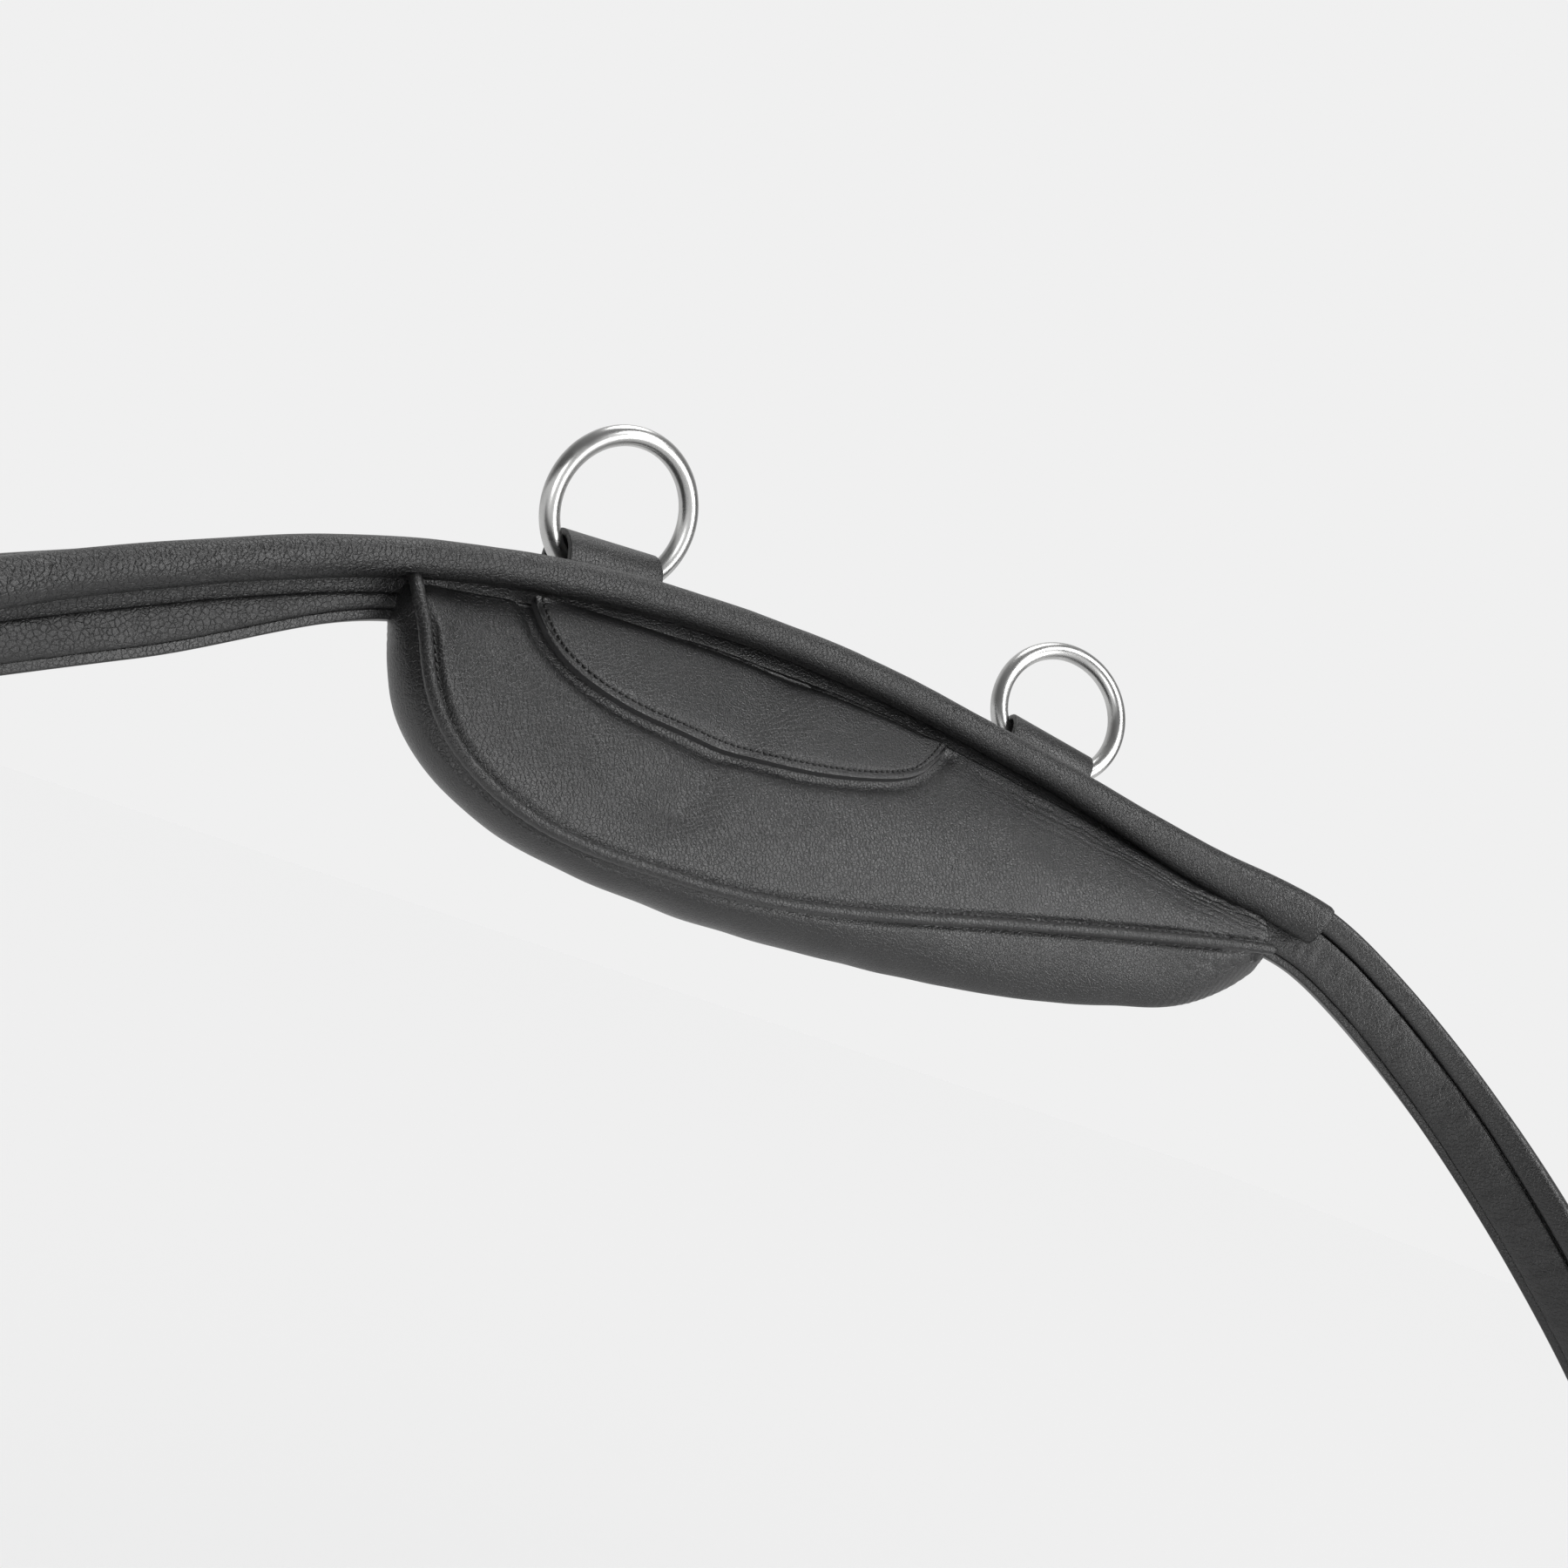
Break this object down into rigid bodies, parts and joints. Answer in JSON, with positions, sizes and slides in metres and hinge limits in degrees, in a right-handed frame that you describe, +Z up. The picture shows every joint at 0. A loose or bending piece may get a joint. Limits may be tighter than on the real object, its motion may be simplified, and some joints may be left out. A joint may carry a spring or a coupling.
{
  "type": "martingale neck strap",
  "caption": "Horse's leather neck strap loop with a padded wither roll and pad, standing steel rings, side buckles with keepers, and a chest ring.",
  "frame": {"origin": "on the top of the neck, at the middle of the padded roll's span, where the loop hangs on the horse", "axes": "+X to the right seen from inside the loop, +Z up, -Y forward into the loop towards the horse's chest"},
  "size_m": [0.4486, 0.2913, 0.3729],
  "materials": {
    "leather": "satin",
    "lining": "soft satin",
    "foam": "matte",
    "steel": "polished"
  },
  "bodies": {
    "leatherwork": {"neck_strap": "leather", "roll_cover": "leather", "pad_front_panel": "leather", "pad_back_panel": "leather", "pad_gusset": "leather", "welt_piping": "leather", "half_moon_patch": "leather", "ring_chape_left": "leather", "ring_chape_right": "leather", "buckle_chape_left": "leather", "buckle_chape_right": "leather", "fixed_keeper_left": "leather", "fixed_keeper_right": "leather", "chest_strap_left": "leather", "chest_strap_right": "leather", "chest_chape_left": "leather", "chest_chape_right": "leather", "strap_lining_left": "lining", "strap_lining_right": "lining", "roll_core": "foam", "pad_filling": "foam"},
    "left_ring": {"ring_left": "steel"},
    "right_ring": {"ring_right": "steel"},
    "left_buckle": {"buckle_frame_left": "steel"},
    "right_buckle": {"buckle_frame_right": "steel"},
    "left_tongue": {"buckle_tongue_left": "steel"},
    "right_tongue": {"buckle_tongue_right": "steel"},
    "left_keeper": {"sliding_keeper_left": "leather"},
    "right_keeper": {"sliding_keeper_right": "leather"},
    "lower_ring": {"chest_ring": "steel"}
  },
  "joints": [
    {"name": "ring_swing_left", "type": "hinge", "parent": "leatherwork", "child": "left_ring", "pos_m": [-0.06776, 0.0095, 0.02267], "axis": [0.9473, 0.2505, 0.1999], "range_deg": [-140, 66]},
    {"name": "ring_swing_right", "type": "hinge", "parent": "leatherwork", "child": "right_ring", "pos_m": [0.06714, 0.00868, 0.02604], "axis": [0.9737, -0.1874, -0.1296], "range_deg": [-118, 88]},
    {"name": "buckle_swing_left", "type": "hinge", "parent": "leatherwork", "child": "left_buckle", "pos_m": [-0.20972, -0.14882, -0.16098], "axis": [-0.001, 0.7961, -0.6052], "range_deg": [0, 5]},
    {"name": "tongue_lift_left", "type": "hinge", "parent": "left_buckle", "child": "left_tongue", "pos_m": [-0.20972, -0.14882, -0.16098], "axis": [-0.001, 0.7961, -0.6052], "range_deg": [0, 4]},
    {"name": "keeper_slide_left", "type": "slide", "parent": "leatherwork", "child": "left_keeper", "axis": [0.1264, -0.6002, -0.7898], "range_m": [-0.008, 0.017]},
    {"name": "buckle_swing_right", "type": "hinge", "parent": "leatherwork", "child": "right_buckle", "pos_m": [0.20972, -0.14882, -0.16098], "axis": [-0.001, -0.7961, 0.6052], "range_deg": [0, 5]},
    {"name": "tongue_lift_right", "type": "hinge", "parent": "right_buckle", "child": "right_tongue", "pos_m": [0.20972, -0.14882, -0.16098], "axis": [-0.001, -0.7961, 0.6052], "range_deg": [0, 4]},
    {"name": "keeper_slide_right", "type": "slide", "parent": "leatherwork", "child": "right_keeper", "axis": [-0.1264, -0.6002, -0.7898], "range_m": [-0.008, 0.017]},
    {"name": "chest_ring_turn", "type": "hinge", "parent": "leatherwork", "child": "lower_ring", "pos_m": [0, -0.25149, -0.2935], "axis": [0, 0.6606, 0.7507], "continuous": true}
  ]
}
